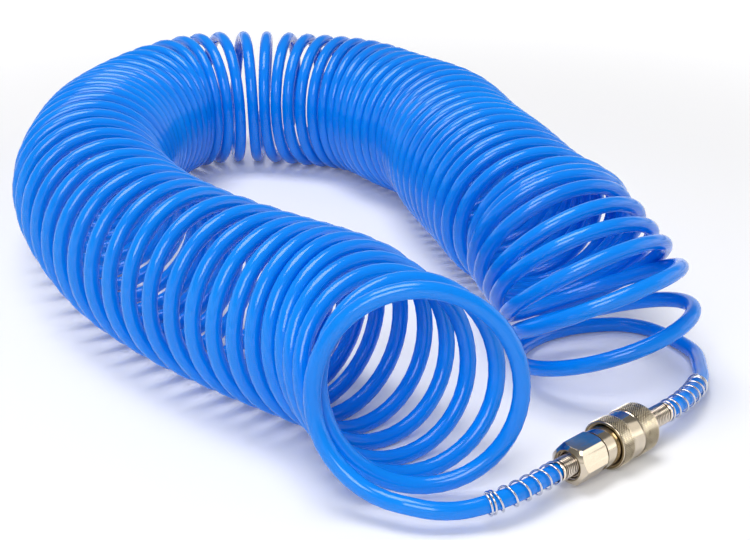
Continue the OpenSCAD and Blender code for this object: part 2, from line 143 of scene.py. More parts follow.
def newLine(name, points):
    return newObject(name, points, edges=[(i, i + 1) for i in range(len(points) - 1)])


def joinObjects(name, parts):
    for part in bpy.context.selected_objects:
        part.select_set(False)
    for part in parts:
        part.select_set(True)
    bpy.context.view_layer.objects.active = parts[0]
    bpy.ops.object.join()
    parts[0].name = name
    parts[0].select_set(False)
    return parts[0]


def finish(piece, body, node):
    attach(piece, body)
    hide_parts(node)


camera = {
    "place": (-0.5326, -0.3642, 0.3357),
    "ahead": (0.7177, 0.6963),
    "down": 20.73,             # degrees below level
    "lens": 74.4,              # lens and sensor in millimetres
    "sensor": 36,
    "clip": (0.01, 50),
}


def makeCamera(spec):
    data = bpy.data.cameras.new("camera")
    data.lens, data.sensor_width = spec["lens"], spec["sensor"]
    data.clip_start, data.clip_end = spec["clip"]
    cam = bpy.data.objects.new("camera", data)
    bpy.context.scene.collection.objects.link(cam)
    down = math.radians(spec["down"])
    x, y = spec["ahead"]
    look = Vector((x * math.cos(down), y * math.cos(down), -math.sin(down)))
    cam.location = spec["place"]
    cam.rotation_euler = look.to_track_quat("-Z", "Y").to_euler()
    bpy.context.scene.camera = cam


makeCamera(camera)

# the hose: 8 x 5 mm, wound in turns that lie in a horseshoe
hose = {
    "diameter": 8 * mm,
    "bore": 5 * mm,
    "curlRadius": 44.3 * mm,
    "turns": 75,
    "ringsPerTurn": 44,
    "sides": 16,
    "axisHeight": 12 * mm,     # of the coupler, which lies on its sleeve
    "startX": 30 * mm,         # where the hose's cut ends stand inside the ferrules
    "boreDepth": 17.5 * mm,
    "exit": (-0.0435, 0, 0.012),
}

# [turn, x, y, lift off the floor, heading, lean]; metres and degrees
stations = [
    [0, -0.101, 0.034, 0.007, 25, 13],
    [1, -0.076, 0.051, 0.003, 54, 20],
    [2.5, -0.069, 0.077, 0, 71, 21],
    [4.5, -0.059, 0.106, 0, 83, 13],
    [7, -0.060, 0.139, 0, 90, 2],
    [10, -0.062, 0.177, 0, 83, 0],
    [13, -0.060, 0.233, 0, 89, 0],
    [17, -0.046, 0.298, 0, 73, 0],
    [21, -0.009, 0.381, 0, 63, 0],
    [25, 0.041, 0.440, 0, 44, 0],
    [29, 0.077, 0.469, 0, 35, 0],
    [33, 0.128, 0.495, 0, 11, 0],
    [35, 0.161, 0.505, 0, -12, 0],
    [37, 0.188, 0.501, 0, -25, 0],
    [39, 0.213, 0.481, 0, -43, 0],
    [41, 0.229, 0.455, 0, -60, 0],
    [45, 0.247, 0.409, 0, -77, 0],
    [49, 0.238, 0.357, 0, -97, 0],
    [53, 0.227, 0.309, 0, -112, 0],
    [57, 0.193, 0.258, 0, -123, 0],
    [61, 0.166, 0.213, 0, -122, 3],
    [65, 0.139, 0.168, 0, -120, 14],
    [67, 0.131, 0.142, 0.001, -118, 21],
    [69, 0.108, 0.124, 0.010, -113, 30],
    [70.5, 0.090, 0.100, 0.015, -107, 39],
    [72, 0.078, 0.081, 0.016, -109, 47],
    [73, 0.066, 0.065, 0.024, -96, 57],
    [74, 0.064, 0.055, 0.018, -97, 67],
    [74.6, 0.075, 0.060, 0.008, -83, 74],
    [75, 0.079, 0.066, 0, -78, 80],
]

# the free ends: [length, x, y, sink]; sink goes from the coupler's axis, 0, to the floor, 1
socketRoute = [
    [0, -0.030, 0, 0],
    [0.009, -0.039, 0, 0],
    [0.018, -0.048, 0, 0],
    [0.030, -0.060, 0, 0],
    [0.042, -0.072, 0.001, 0.05],
    [0.055, -0.084, 0.005, 0.2],
    [0.067, -0.094, 0.011, 0.35],
    [0.079, -0.103, 0.019, 0.3],
]
plugRoute = [
    [0, 0.030, 0, 0],
    [0.009, 0.039, 0, 0],
    [0.018, 0.048, 0, 0],
    [0.028, 0.058, 0.001, 0],
    [0.040, 0.070, 0.004, 0.1],
    [0.052, 0.081, 0.008, 0.2],
    [0.064, 0.092, 0.013, 0.35],
    [0.076, 0.102, 0.020, 0.5],
    [0.090, 0.113, 0.028, 0.7],
    [0.104, 0.123, 0.037, 0.85],
    [0.118, 0.130, 0.049, 0.95],
    [0.132, 0.134, 0.062, 1],
    [0.146, 0.135, 0.076, 1],
    [0.160, 0.130, 0.089, 1],
    [0.175, 0.119, 0.099, 1],
    [0.190, 0.106, 0.106, 1],
    [0.206, 0.090, 0.110, 1],
    [0.218, 0.078, 0.110, 1],
]
socketRun = 0.091              # length of each free end, where it meets the coil
plugRun = 0.226
tailStep = 0.002               # between two points of a free end
headingStep = 0.001            # of a turn, over which the coil's direction is taken

axisHeight = hose["axisHeight"]
restHeight = hose["diameter"] / 2


def between(rows, at):
    # smooth curve through rows that each start with their own parameter
    i = 0
    while i < len(rows) - 2 and at >= rows[i + 1][0]:
        i += 1

    def slope(k):
        a, b = rows[max(k - 1, 0)], rows[min(k + 1, len(rows) - 1)]
        return [(q - p) / (b[0] - a[0]) for p, q in zip(a, b)]

    h = rows[i + 1][0] - rows[i][0]
    f = (at - rows[i][0]) / h
    weights = (2 * f**3 - 3 * f**2 + 1, (f**3 - 2 * f**2 + f) * h,
               3 * f**2 - 2 * f**3, (f**3 - f**2) * h)
    parts = (rows[i], slope(i), rows[i + 1], slope(i + 1))
    return [sum(w * part[k] for w, part in zip(weights, parts)) for k in range(len(rows[i]))]


def curlPoint(turn):
    _, x, y, lift, heading, lean = between(stations, turn)
    heading, lean, angle = math.radians(heading), math.radians(lean), 2 * math.pi * turn
    ahead = Vector((math.cos(heading), math.sin(heading), 0))
    side = Vector((-math.sin(heading), math.cos(heading), 0))
    up = math.sin(lean) * ahead + Vector((0, 0, math.cos(lean)))
    radius = hose["curlRadius"]
    centre = Vector((x, y, restHeight + lift + radius * math.cos(lean)))
    return centre + radius * (math.sin(angle) * side - math.cos(angle) * up)


def curlHeading(turn):
    return (curlPoint(turn + headingStep) - curlPoint(turn - headingStep)).normalized()


def routePoint(route, at):
    _, x, y, sink = between(route, at)
    return Vector((x, y, axisHeight + (restHeight - axisHeight) * sink))


def joinedRoute(route, run, turn, direction):
    # ends the route on the coil: one row at the coil's end and one a diameter further along it
    def row(at, point):
        return [at, point.x, point.y, (axisHeight - point.z) / (axisHeight - restHeight)]
    end = curlPoint(turn)
    beyond = end + direction * hose["diameter"] * curlHeading(turn)
    return route + [row(run, end), row(run + hose["diameter"], beyond)]


socketLine = joinedRoute(socketRoute, socketRun, 0, 1)
plugLine = joinedRoute(plugRoute, plugRun, hose["turns"], -1)


def routePoints(route, run):
    steps = round(run / tailStep)
    return [routePoint(route, run * k / steps) for k in range(steps)]


def hosePath():
    rings = hose["turns"] * hose["ringsPerTurn"]
    coil = [curlPoint(k / hose["ringsPerTurn"]) for k in range(rings + 1)]
    return routePoints(socketLine, socketRun) + coil + routePoints(plugLine, plugRun)[::-1]


path = hosePath()


# Extruded polyurethane tube: a deep even blue under a glossy skin,
# with the die's faint lines along it
polyurethane = {
    "deep": "#0077e8",
    "bright": "#0093fa",
    "roughness": (0.12, 0.18),
    "ior": 1.5,
    "specular": 0.42,
    "patch": 60 * mm,          # size of the slow changes of colour
    "dieLine": 0.9 * mm,       # spacing of the die's lines round the tube
    "dieDepth": 0.006 * mm,
    "drawnOut": 0.02,          # how fast a line changes along the tube, as a share of round it
}

# Nickel-plated brass, turned: a warm mirror with the tool's fine rings,
# which are drawn 0.15 mm apart to show
nickelTurned = {
    "colour": "#dccfba",
    "roughness": (0.1, 0.18),
    "toolMark": 0.15 * mm,
    "markDepth": 0.002 * mm,
    "patch": 4 * mm,
}

# The same plate over rolled knurls: rough, with lighter crests and valleys painted dark brown,
# partly residue and partly painted shade where the knurl shades itself
nickelKnurled = {
    "colour": "#f0e2c6",
    "valleyShadeAndResidue": "#3a2c1c",
    "valleyShadeAndResidueFrom": (11.62 * mm, 11.93 * mm),
    "roughness": (0.22, 0.34),
    "toolMark": 0.4 * mm,
    "markDepth": 0.01 * mm,
    "patch": 2 * mm,
}

# The same plate over cut threads, whose valleys are painted dark as shade
nickelThreaded = {
    "colour": "#fbeedd",
    "valleyShadeAndResidue": "#54483c",
    "valleyShadeAndResidueFrom": (4.76 * mm, 4.86 * mm),
    "roughness": (0.12, 0.2),
    "toolMark": 0.3 * mm,
    "markDepth": 0.004 * mm,
    "patch": 2 * mm,
}

# End faces: faced off more roughly, and painted darker than the sides as painted shade, for the
# dark surroundings they reflect
nickelFacedShaded = {
    "colour": "#94815c",
    "roughness": (0.26, 0.36),
    "toolMark": 0.3 * mm,
    "markDepth": 0.006 * mm,
    "patch": 3 * mm,
}

# Drawn stainless wire: bright, with draw lines too fine to see but for a slight change of gloss
springWire = {
    "colour": "#e2e3e6",
    "roughness": (0.15, 0.26),
    "toolMark": 0.6 * mm,
    "markDepth": 0.002 * mm,
    "patch": 2 * mm,
}

# Moulded nitrile rubber: dull black with a fine skin
nitrile = {
    "colour": "#141414",
    "roughness": (0.55, 0.7),
    "toolMark": 0.5 * mm,
    "markDepth": 0.01 * mm,
    "patch": 2 * mm,
}

# Hardened steel balls, lapped: an even mirror
lappedSteel = {
    "colour": "#c4c4c6",
    "roughness": (0.08, 0.14),
    "toolMark": 1 * mm,
    "markDepth": 0.001 * mm,
    "patch": 1 * mm,
}

ringStretch = 0.03             # how fast a tool mark changes round the axis, against along it
patchShade = 0.85              # brightness of the darker patches of a finish


def makePolyurethane(spec):
    material, tree, shader = newMaterial("extrudedPolyurethane")
    spot = addNode(tree, "ShaderNodeTexCoord")
    cloud = addNode(tree, "ShaderNodeTexNoise", {
        "Vector": spot.outputs["Object"], "Scale": 1 / spec["patch"], "Detail": 2.0})
    colour = addNode(tree, "ShaderNodeMix", {
        0: cloud, 6: linear(spec["deep"]), 7: linear(spec["bright"])}, data_type="RGBA")
    tree.links.new(colour.outputs[2], shader.inputs["Base Color"])
    # the die's lines: noise round the section, drawn out along the tube
    section = addNode(tree, "ShaderNodeAttribute", attribute_name="section")
    along = addNode(tree, "ShaderNodeAttribute", attribute_name="along")
    slow = addNode(tree, "ShaderNodeMath", {
        0: along.outputs["Fac"], 1: spec["drawnOut"]}, operation="MULTIPLY")
    lift = addNode(tree, "ShaderNodeCombineXYZ", {"Z": slow})
    where = addNode(tree, "ShaderNodeVectorMath", {
        0: section.outputs["Vector"], 1: lift}, operation="ADD")
    lines = addNode(tree, "ShaderNodeTexNoise", {
        "Vector": where, "Scale": 1 / spec["dieLine"], "Detail": 3.0})
    bump = addNode(tree, "ShaderNodeBump", {
        "Height": lines, "Distance": spec["dieDepth"], "Strength": 1.0})
    tree.links.new(bump.outputs[0], shader.inputs["Normal"])
    low, high = spec["roughness"]
    gloss = addNode(tree, "ShaderNodeMapRange", {"Value": lines, "To Min": low, "To Max": high})
    tree.links.new(gloss.outputs[0], shader.inputs["Roughness"])
    shader.inputs["IOR"].default_value = spec["ior"]
    shader.inputs["Specular IOR Level"].default_value = spec["specular"]
    return material


def makeFinish(name, spec, metallic=1.0):
    # a machined or moulded finish: rings across X from the tool or the mould, and patches of gloss
    material, tree, shader = newMaterial(name)
    spot = addNode(tree, "ShaderNodeTexCoord")
    rings = addNode(tree, "ShaderNodeVectorMath", {
        0: spot.outputs["Object"], 1: (1, ringStretch, ringStretch)}, operation="MULTIPLY")
    marks = addNode(tree, "ShaderNodeTexNoise", {
        "Vector": rings, "Scale": 1 / spec["toolMark"], "Detail": 2.0})
    bump = addNode(tree, "ShaderNodeBump", {
        "Height": marks, "Distance": spec["markDepth"], "Strength": 1.0})
    tree.links.new(bump.outputs[0], shader.inputs["Normal"])
    patch = addNode(tree, "ShaderNodeTexNoise", {
        "Vector": spot.outputs["Object"], "Scale": 1 / spec["patch"], "Detail": 3.0})
    low, high = spec["roughness"]
    gloss = addNode(tree, "ShaderNodeMapRange", {"Value": patch, "To Min": low, "To Max": high})
    tree.links.new(gloss.outputs[0], shader.inputs["Roughness"])
    light = linear(spec["colour"])
    dark = tuple(c * patchShade for c in light[:3]) + (1.0,)
    colour = addNode(tree, "ShaderNodeMix", {0: patch, 6: dark, 7: light}, data_type="RGBA")
    shown = colour.outputs[2]
    if "valleyShadeAndResidue" in spec:
        # painted shade in the valleys, and on the knurl residue too, by the distance from the
        # coupler's axis
        low, high = spec["valleyShadeAndResidueFrom"]
        offset = addNode(tree, "ShaderNodeVectorMath", {
            0: spot.outputs["Object"], 1: (0, 0, axisHeight)}, operation="SUBTRACT")
        radial = addNode(tree, "ShaderNodeVectorMath", {
            0: offset, 1: (0, 1, 1)}, operation="MULTIPLY")
        radius = addNode(tree, "ShaderNodeVectorMath", {0: radial}, operation="LENGTH")
        valleyShadeMask = addNode(tree, "ShaderNodeMapRange", {
            "Value": radius.outputs["Value"], "From Min": low, "From Max": high},
            interpolation_type="SMOOTHSTEP")
        valleyShaded = addNode(tree, "ShaderNodeMix", {
            0: valleyShadeMask, 6: linear(spec["valleyShadeAndResidue"]), 7: shown}, data_type="RGBA")
        shown = valleyShaded.outputs[2]
    tree.links.new(shown, shader.inputs["Base Color"])
    shader.inputs["Metallic"].default_value = metallic
    return material


hoseMaterial = makePolyurethane(polyurethane)
nickelMaterial = makeFinish("nickelPlatedTurnedBrass", nickelTurned)
knurlMaterial = makeFinish("nickelPlatedKnurledBrass", nickelKnurled)
threadMaterial = makeFinish("nickelPlatedThreadedBrass", nickelThreaded)
# the end faces' material, painted darker as shade
shadedEndMaterial = makeFinish("nickelPlatedFacedBrassShaded", nickelFacedShaded)
wireMaterial = makeFinish("drawnStainlessWire", springWire)
rubberMaterial = makeFinish("mouldedNitrile", nitrile, metallic=0.0)
ballMaterial = makeFinish("lappedBallSteel", lappedSteel)
slotMaterials = {
    "hose": hoseMaterial,
    "nickel": nickelMaterial,
    "spring_steel": wireMaterial,
    "ball_steel": ballMaterial,
    "seal_rubber": rubberMaterial,
}
for part in frame["record"]["subparts"]:
    for holder in frame["nodes"][part["node"]].material_slots:
        holder.material = slotMaterials[part["material_slot"]]
print("materials: ready,", len(slotMaterials), "slots filled")


# the hose is one tube swept along its path
def sweepTree():
    tree, given = newGeometryTree("sweepTube", ["Radius"], ["Sides"])
    line = addNode(tree, "GeometryNodeMeshToCurve", {"Mesh": given["Geometry"]})
    measure = addNode(tree, "GeometryNodeSplineParameter")
    measured = addNode(tree, "GeometryNodeStoreNamedAttribute", {
        "Geometry": line, "Name": "along", "Value": measure.outputs["Length"]})
    circle = addNode(tree, "GeometryNodeCurvePrimitiveCircle", {
        "Resolution": given["Sides"], "Radius": given["Radius"]})
    spot = addNode(tree, "GeometryNodeInputPosition")
    section = addNode(tree, "GeometryNodeStoreNamedAttribute", {
        "Geometry": circle, "Name": "section", "Value": spot}, data_type="FLOAT_VECTOR")
    tube = addNode(tree, "GeometryNodeCurveToMesh", {
        "Curve": measured, "Profile Curve": section, "Fill Caps": True})
    smooth = addNode(tree, "GeometryNodeSetShadeSmooth", {"Geometry": tube})
    endTree(tree, smooth, given["Material"])
    return tree


def boreEnds(obj, wall, depth):
    # opens each cut end into a blind bore, for the barb; only the caps have more than four corners
    mesh = bmesh.new()
    mesh.from_mesh(obj.data)
    caps = [face for face in mesh.faces if len(face.verts) > 4]
    bmesh.ops.inset_individual(mesh, faces=caps, thickness=wall)
    for cap in caps:
        inward = -cap.normal * depth
        made = bmesh.ops.extrude_face_region(mesh, geom=[cap])["geom"]
        bmesh.ops.delete(mesh, geom=[cap], context="FACES_ONLY")
        corners = [v for v in made if isinstance(v, bmesh.types.BMVert)]
        bmesh.ops.translate(mesh, verts=corners, vec=inward)
    mesh.to_mesh(obj.data)
    mesh.free()


hoseTube = newLine("airHose", path)
growFrom(hoseTube, sweepTree(), {
    "Radius": hose["diameter"] / 2, "Sides": hose["sides"], "Material": hoseMaterial})
boreEnds(hoseTube, (hose["diameter"] - hose["bore"]) / 2, hose["boreDepth"])
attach(hoseTube, "hose_and_plug")
hoseNodes = [name for name in frame["nodes"] if name.startswith("coil_") or name.endswith("_tail")]
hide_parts(*hoseNodes)
print("hose:", len(hoseTube.data.polygons), "faces")


# wire wound round the hose's free ends
guardSpring = {
    "wire": 1.0 * mm,
    "radius": 5.05 * mm,
    "turns": 8,
    "closedPitch": 1.7 * mm,   # where the turns lie close, at both ends
    "openPitch": 6.8 * mm,
    "closedTurns": (0.7, 2.0),     # by the ferrule, and at the far end
    "seat": 0.3 * mm,          # space left before the ferrule
    "ringsPerTurn": 32,
    "sides": 10,
}


def springTree(closedTurns):
    tree, given = newGeometryTree(
        "windSpring", ["Start", "Turns", "Closed Pitch", "Open Pitch", "Radius", "Wire"],
        ["Rings", "Sides"])
    rings, turns, closed = given["Rings"], given["Turns"], given["Closed Pitch"]
    steps = addNode(tree, "ShaderNodeMath", {0: rings, 1: turns}, operation="MULTIPLY")
    count = addNode(tree, "ShaderNodeMath", {0: steps, 1: 1.0}, operation="ADD")
    line = addNode(tree, "GeometryNodeMeshLine", {"Count": count})
    index = addNode(tree, "GeometryNodeInputIndex")
    turn = addNode(tree, "ShaderNodeMath", {0: index, 1: rings}, operation="DIVIDE")
    # the pitch opens after the first closed turns and closes again for the last ones
    first, last = closedTurns
    late = addNode(tree, "ShaderNodeMath", {0: turn, 1: first}, operation="SUBTRACT")
    most = addNode(tree, "ShaderNodeMath", {0: turns, 1: first + last}, operation="SUBTRACT")
    above = addNode(tree, "ShaderNodeMath", {0: late, 1: 0.0}, operation="MAXIMUM")
    opened = addNode(tree, "ShaderNodeMath", {0: above, 1: most}, operation="MINIMUM")
    extra = addNode(tree, "ShaderNodeMath", {
        0: given["Open Pitch"], 1: closed}, operation="SUBTRACT")
    wide = addNode(tree, "ShaderNodeMath", {0: opened, 1: extra}, operation="MULTIPLY")
    close = addNode(tree, "ShaderNodeMath", {
        0: turn, 1: closed, 2: wide}, operation="MULTIPLY_ADD")
    at = addNode(tree, "ShaderNodeMath", {0: close, 1: given["Start"]}, operation="ADD")
    route = addNode(tree, "GeometryNodeMeshToCurve", {"Mesh": given["Geometry"]})
    spot = addNode(tree, "GeometryNodeSampleCurve", {
        "Curves": route, "Length": at}, mode="LENGTH", use_all_curves=True)
    # the wire goes round the route in the plane across it
    tangent = spot.outputs["Tangent"]
    aside = addNode(tree, "ShaderNodeVectorMath", {
        0: (0, 0, 1), 1: tangent}, operation="CROSS_PRODUCT")
    across = addNode(tree, "ShaderNodeVectorMath", {0: aside}, operation="NORMALIZE")
    up = addNode(tree, "ShaderNodeVectorMath", {
        0: tangent, 1: across}, operation="CROSS_PRODUCT")
    angle = addNode(tree, "ShaderNodeMath", {0: turn, 1: 2 * math.pi}, operation="MULTIPLY")
    cosine = addNode(tree, "ShaderNodeMath", {0: angle}, operation="COSINE")
    sine = addNode(tree, "ShaderNodeMath", {0: angle}, operation="SINE")
    left = addNode(tree, "ShaderNodeMath", {0: sine, 1: -1.0}, operation="MULTIPLY")
    rise = addNode(tree, "ShaderNodeVectorMath", {0: up, "Scale": cosine}, operation="SCALE")
    out = addNode(tree, "ShaderNodeVectorMath", {0: across, "Scale": left}, operation="SCALE")
    both = addNode(tree, "ShaderNodeVectorMath", {0: rise, 1: out}, operation="ADD")
    far = addNode(tree, "ShaderNodeVectorMath", {
        0: both, "Scale": given["Radius"]}, operation="SCALE")
    place = addNode(tree, "ShaderNodeVectorMath", {
        0: far, 1: spot.outputs["Position"]}, operation="ADD")
    wound = addNode(tree, "GeometryNodeSetPosition", {"Geometry": line, "Position": place})
    helix = addNode(tree, "GeometryNodeMeshToCurve", {"Mesh": wound})
    half = addNode(tree, "ShaderNodeMath", {0: given["Wire"], 1: 0.5}, operation="MULTIPLY")
    circle = addNode(tree, "GeometryNodeCurvePrimitiveCircle", {
        "Resolution": given["Sides"], "Radius": half})
    wire = addNode(tree, "GeometryNodeCurveToMesh", {
        "Curve": helix, "Profile Curve": circle, "Fill Caps": True})
    smooth = addNode(tree, "GeometryNodeSetShadeSmooth", {"Geometry": wire})
    endTree(tree, smooth, given["Material"])
    return tree


windTree = springTree(guardSpring["closedTurns"])


def windSpring(name, line, spec, start, closedPitch, openPitch):
    return growFrom(newLine(name, line), windTree, {
        "Start": start, "Turns": float(spec["turns"]),
        "Closed Pitch": closedPitch, "Open Pitch": openPitch,
        "Radius": spec["radius"], "Wire": spec["wire"],
        "Rings": guardSpring["ringsPerTurn"], "Sides": guardSpring["sides"],
        "Material": wireMaterial})


def windGuard(name, route, run, ferruleX):
    spec = guardSpring
    start = abs(ferruleX) - hose["startX"] + spec["seat"] + spec["wire"] / 2
    return windSpring(name, routePoints(route, run), spec, start, spec["closedPitch"],
                      spec["openPitch"])


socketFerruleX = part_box("socket_ferrule")[0].x
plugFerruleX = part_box("plug_ferrule")[1].x
guardBySocket = windGuard("guardSpringBySocket", socketLine, socketRun, socketFerruleX)
guardByPlug = windGuard("guardSpringByPlug", plugLine, plugRun, plugFerruleX)
finish(guardBySocket, "hose_and_plug", "guard_spring_socket")
finish(guardByPlug, "hose_and_plug", "guard_spring_plug")
print("guard springs: wound")

# the two springs inside the coupler, each wound to the length of its part and fixed to one body
innerSprings = {
    "sleeve_spring": {"name": "sleeveSpring", "wire": 0.8 * mm, "radius": 8.95 * mm, "turns": 4,
                      "body": "spring_seat", "joint": "sleeve_slide", "travel": 4 * mm},
    "valve_spring": {"name": "valveSpring", "wire": 0.6 * mm, "radius": 2.9 * mm, "turns": 4,
                     "body": "socket", "joint": "valve_slide", "travel": 1 * mm},
}


def windInnerSpring(node, spec):
    low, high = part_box(node)
    length = high.x - low.x
    pitch = (length - spec["wire"]) / spec["turns"]
    line = [(low.x, 0, axisHeight), (high.x, 0, axisHeight)]
    spring = windSpring(spec["name"], line, spec, spec["wire"] / 2, pitch, pitch)
    finish(spring, spec["body"], node)
    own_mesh(spring)


for node, spec in innerSprings.items():
    windInnerSpring(node, spec)
print("inner springs: wound")


roundingSteps = 4
roundingLimit = 0.45           # the share of a side that a rounding may take off each end
mergeDistance = 1e-6
squareOn = 0.95                # how far a face's normal lies along the axis, to count as an end


def rounded(profile):
    # profile corners are (radius, x, rounding); a rounding takes that length off both sides
    out = []
    for i, (r, x, size) in enumerate(profile):
        corner = Vector((r, x))
        before = Vector(profile[i - 1][:2]) - corner
        after = Vector(profile[(i + 1) % len(profile)][:2]) - corner
        if not size:
            out.append(corner)
            continue
        start = corner + before.normalized() * min(size, before.length * roundingLimit)
        end = corner + after.normalized() * min(size, after.length * roundingLimit)
        for k in range(roundingSteps + 1):
            t = k / roundingSteps
            out.append(start * (1 - t)**2 + corner * 2 * t * (1 - t) + end * t**2)
    return out


def latheFaces(rings, segments):
    # quads of a closed section turned all the way round
    faces = []
    for j in range(rings):
        k = (j + 1) % rings
        for i in range(segments):
            n = (i + 1) % segments
            faces.append((j * segments + i, j * segments + n, k * segments + n, k * segments + i))
    return faces


def tidyNormals(obj, sharp):
    mesh = bmesh.new()
    mesh.from_mesh(obj.data)
    bmesh.ops.remove_doubles(mesh, verts=mesh.verts, dist=mergeDistance)
    bmesh.ops.dissolve_degenerate(mesh, edges=mesh.edges, dist=mergeDistance)
    bmesh.ops.recalc_face_normals(mesh, faces=mesh.faces)
    for face in mesh.faces:
        face.smooth = True
    for edge in mesh.edges:
        flat = len(edge.link_faces) == 2 and edge.calc_face_angle(0) < math.radians(sharp)
        edge.smooth = flat
    mesh.to_mesh(obj.data)
    mesh.free()
    return obj


def lathe(name, profile, material, segments, sharp):
    section = rounded(profile)
    points = []
    for r, x in section:
        for i in range(segments):
            a = 2 * math.pi * i / segments
            points.append((x, -r * math.sin(a), axisHeight + r * math.cos(a)))
    turned = newObject(name, points, faces=latheFaces(len(section), segments), material=material)
    return tidyNormals(turned, sharp)


def shadeEndFaces(piece):
    # the faces square to the axis get the faced material, painted darker than the sides as shade
    piece.data.materials.append(shadedEndMaterial)
    for polygon in piece.data.polygons:
        if abs(polygon.normal.x) > squareOn:
            polygon.material_index = len(piece.data.materials) - 1


sleeve = {
    "outer": 12 * mm,
    "x": (-8 * mm, 19.5 * mm),
    "waist": (0.8 * mm, 7.9 * mm),
    "waistRadius": 11.3 * mm,
    "waistSlope": 0.2 * mm,
    "chamber": 9.7 * mm,
    "mouth": 0.7 * mm,         # chamfer where the chamber opens
    "shoulder": 5 * mm,
    "land": 8.48 * mm,
    "ramp": (10.74 * mm, 15.24 * mm),
    "recess": 9.83 * mm,
    "recessMouth": 0.4 * mm,
    "edge": 0.3 * mm,
    "roundings": (0.1 * mm, 0.15 * mm, 0.2 * mm),
    "segments": 128,
    "sharp": 35,               # degrees from which an edge shows as one
}
knurl = {
    "depth": 0.45 * mm,
    "around": 60,
    "pitch": 1.35 * mm,        # along the axis, from crest to crest
    "crest": 0.34,             # width of the worn crest, as a share of the diamond
    "bands": ((-7.8 * mm, 0.5 * mm), (8.2 * mm, 19.2 * mm)),
}


def knurlTree():
    tree, given = newGeometryTree(
        "rollKnurl", ["From", "Pitch", "Root", "Depth", "Crest", "Axis"], ["Rows", "Around"])
    around, pitch, root = given["Around"], given["Pitch"], given["Root"]
    count = addNode(tree, "ShaderNodeMath", {0: given["Rows"], 1: around}, operation="MULTIPLY")
    crests = addNode(tree, "GeometryNodeMeshLine", {"Count": count})
    # a crest's row and column, with every other row half a column on
    index = addNode(tree, "GeometryNodeInputIndex")
    ratio = addNode(tree, "ShaderNodeMath", {0: index, 1: around}, operation="DIVIDE")
    row = addNode(tree, "ShaderNodeMath", {0: ratio}, operation="FLOOR")
    column = addNode(tree, "ShaderNodeMath", {0: index, 1: around}, operation="MODULO")
    odd = addNode(tree, "ShaderNodeMath", {0: row, 1: 2.0}, operation="MODULO")
    shifted = addNode(tree, "ShaderNodeMath", {
        0: odd, 1: 0.5, 2: column}, operation="MULTIPLY_ADD")
    share = addNode(tree, "ShaderNodeMath", {0: shifted, 1: around}, operation="DIVIDE")
    angle = addNode(tree, "ShaderNodeMath", {0: share, 1: 2 * math.pi}, operation="MULTIPLY")
    halfPitch = addNode(tree, "ShaderNodeMath", {0: pitch, 1: 0.5}, operation="MULTIPLY")
    x = addNode(tree, "ShaderNodeMath", {
        0: row, 1: halfPitch, 2: given["From"]}, operation="MULTIPLY_ADD")
    cosine = addNode(tree, "ShaderNodeMath", {0: angle}, operation="COSINE")
    sine = addNode(tree, "ShaderNodeMath", {0: angle}, operation="SINE")
    minus = addNode(tree, "ShaderNodeMath", {0: root, 1: -1.0}, operation="MULTIPLY")
    y = addNode(tree, "ShaderNodeMath", {0: sine, 1: minus}, operation="MULTIPLY")
    z = addNode(tree, "ShaderNodeMath", {
        0: cosine, 1: root, 2: given["Axis"]}, operation="MULTIPLY_ADD")
    place = addNode(tree, "ShaderNodeCombineXYZ", {"X": x, "Y": y, "Z": z})
    laid = addNode(tree, "GeometryNodeSetPosition", {"Geometry": crests, "Position": place})
    # one diamond: a four-sided cone with its tip cut off, as long as the pitch
    # and as wide as its share round
    wide = addNode(tree, "ShaderNodeMath", {0: root, 1: 2 * math.pi}, operation="MULTIPLY")
    width = addNode(tree, "ShaderNodeMath", {0: wide, 1: around}, operation="DIVIDE")
    halfWidth = addNode(tree, "ShaderNodeMath", {0: width, 1: 0.5}, operation="MULTIPLY")
    diamond = addNode(tree, "GeometryNodeMeshCone", {
        "Vertices": 4, "Radius Top": given["Crest"], "Radius Bottom": 1.0, "Depth": 1.0})
    size = addNode(tree, "ShaderNodeCombineXYZ", {
        "X": halfPitch, "Y": halfWidth, "Z": given["Depth"]})
    turn = addNode(tree, "ShaderNodeCombineXYZ", {"X": angle})
    rolled = addNode(tree, "GeometryNodeInstanceOnPoints", {
        "Points": laid, "Instance": diamond, "Rotation": turn, "Scale": size})
    endTree(tree, rolled, given["Material"])
    return tree


def rollKnurl(name, span, tree):
    start, end = span
    halfPitch = knurl["pitch"] / 2
    rows = int((end - start) / halfPitch) - 1
    return growFrom(newObject(name, [(0, 0, 0)]), tree, {
        "From": start + halfPitch, "Pitch": knurl["pitch"], "Rows": rows,
        "Around": knurl["around"], "Root": sleeve["outer"] - knurl["depth"],
        "Depth": knurl["depth"], "Crest": knurl["crest"], "Axis": axisHeight,
        "Material": knurlMaterial})


def makeSleeve(spec):
    left, right = spec["x"]
    a, b = spec["waist"]
    root, waist, slope = spec["outer"] - knurl["depth"], spec["waistRadius"], spec["waistSlope"]
    chamber, mouth, edge = spec["chamber"], spec["mouth"], spec["edge"]
    recess, recessMouth, land = spec["recess"], spec["recessMouth"], spec["land"]
    rampStart, rampEnd = spec["ramp"]
    fine, small, soft = spec["roundings"]
    outside = [
        (chamber + mouth, left, small), (root - edge, left, soft), (root, left + edge, soft),
        (root, a - slope, fine), (waist, a + slope, fine),
        (waist, b - slope, fine), (root, b + slope, fine),
        (root, right - edge, soft), (root - edge, right, soft)]
    inside = [
        (recess + recessMouth, right, small), (recess, right - recessMouth, fine),
        (recess, rampEnd, 0), (land, rampStart, 0), (land, spec["shoulder"], 0),
        (chamber, spec["shoulder"], 0), (chamber, left + mouth, fine)]
    turned = lathe("releaseSleeve", outside + inside, nickelMaterial, spec["segments"],
                   spec["sharp"])
    shadeEndFaces(turned)
    return turned


rollTree = knurlTree()
sleeveParts = [makeSleeve(sleeve)] + [rollKnurl("knurl", span, rollTree) for span in knurl["bands"]]
sleevePiece = joinObjects("releaseSleeve", sleeveParts)
finish(sleevePiece, "release_sleeve", "sleeve")
print("sleeve:", len(sleevePiece.data.polygons), "faces")


